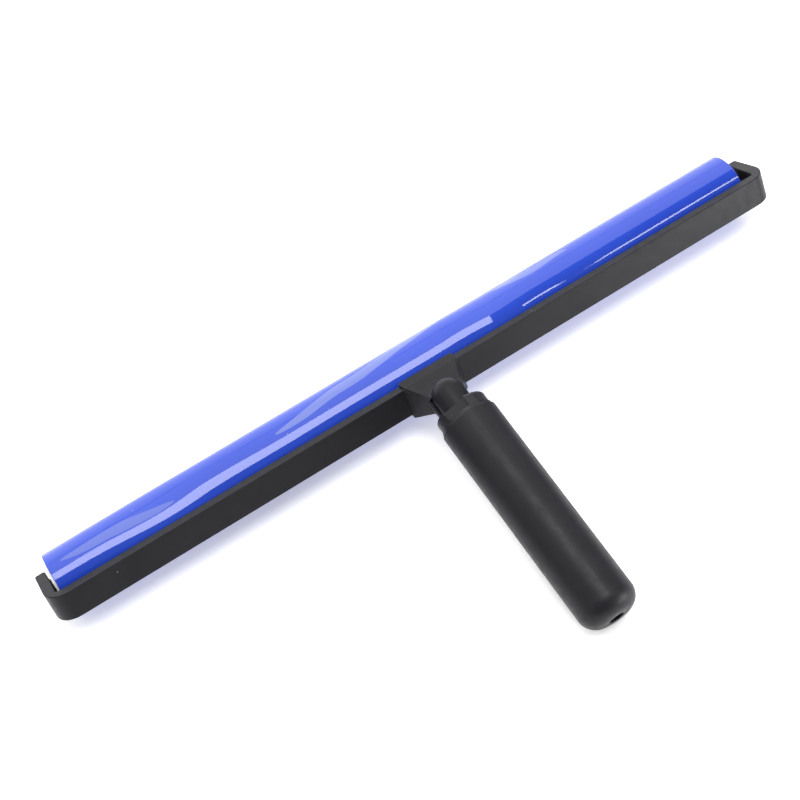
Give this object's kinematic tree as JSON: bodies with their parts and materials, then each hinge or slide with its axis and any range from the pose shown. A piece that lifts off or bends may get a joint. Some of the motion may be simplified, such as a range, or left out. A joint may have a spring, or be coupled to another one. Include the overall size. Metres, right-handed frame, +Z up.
{
  "type": "silicone roller applicator",
  "caption": "Long blue silicone roller turning in a black U-shaped frame, with an angled neck and a straight round grip at its middle, for pressing down film.",
  "frame": {"origin": "centre of the footprint on the surface that the tool lies on, resting on its roller and the butt of its grip", "axes": "+X along the roller, +Y from the grip's butt towards the roller, +Z up"},
  "size_m": [0.4792, 0.209, 0.0541],
  "materials": {
    "frame_plastic": "satin black moulded plastic with a fine grain",
    "handle_plastic": "satin black moulded plastic, a little smoother than the frame",
    "grip_plastic": "soft matte black grip",
    "blue_silicone": "glossy smooth blue silicone",
    "white_nylon": "off-white nylon",
    "aluminium_tube": "drawn tube",
    "steel_rod": "ground rod",
    "spacer_plastic": "black nylon",
    "plated_screws": "zinc plated",
    "black_steel": "black oxide",
    "brass_insert": "turned brass",
    "bearing_steel": "polished bearing steel"
  },
  "bodies": {
    "handle_frame": {"frame": "frame_plastic", "neck_bracket": "frame_plastic", "handle_core": "handle_plastic", "grip_sleeve": "grip_plastic", "axle": "steel_rod", "spacer_left": "spacer_plastic", "spacer_right": "spacer_plastic", "axle_screws": "plated_screws", "bracket_screws": "plated_screws", "handle_bolt": "black_steel", "handle_washer": "plated_screws", "neck_insert": "brass_insert", "bearing_inner_ring_left": "bearing_steel", "bearing_inner_ring_right": "bearing_steel"},
    "roller": {"roller_sleeve": "blue_silicone", "roller_core_tube": "aluminium_tube", "end_plug_left": "white_nylon", "end_plug_right": "white_nylon", "bearing_outer_ring_left": "bearing_steel", "bearing_shields_left": "plated_screws", "bearing_outer_ring_right": "bearing_steel", "bearing_shields_right": "plated_screws"},
    "ball_train": {"bearing_balls_left": "bearing_steel", "bearing_cage_left": "brass_insert", "bearing_balls_right": "bearing_steel", "bearing_cage_right": "brass_insert"}
  },
  "joints": [
    {"name": "roller_spin", "type": "hinge", "parent": "handle_frame", "child": "roller", "pos_m": [-0.00061, 0.08653, 0.018], "axis": [1, 0, 0], "continuous": true},
    {"name": "ball_train_spin", "type": "hinge", "parent": "handle_frame", "child": "ball_train", "pos_m": [-0.00061, 0.08653, 0.018], "axis": [1, 0, 0], "continuous": true}
  ],
  "couplings": [
    {"joint": "ball_train_spin", "follows": "roller_spin", "ratio": 0.64}
  ]
}
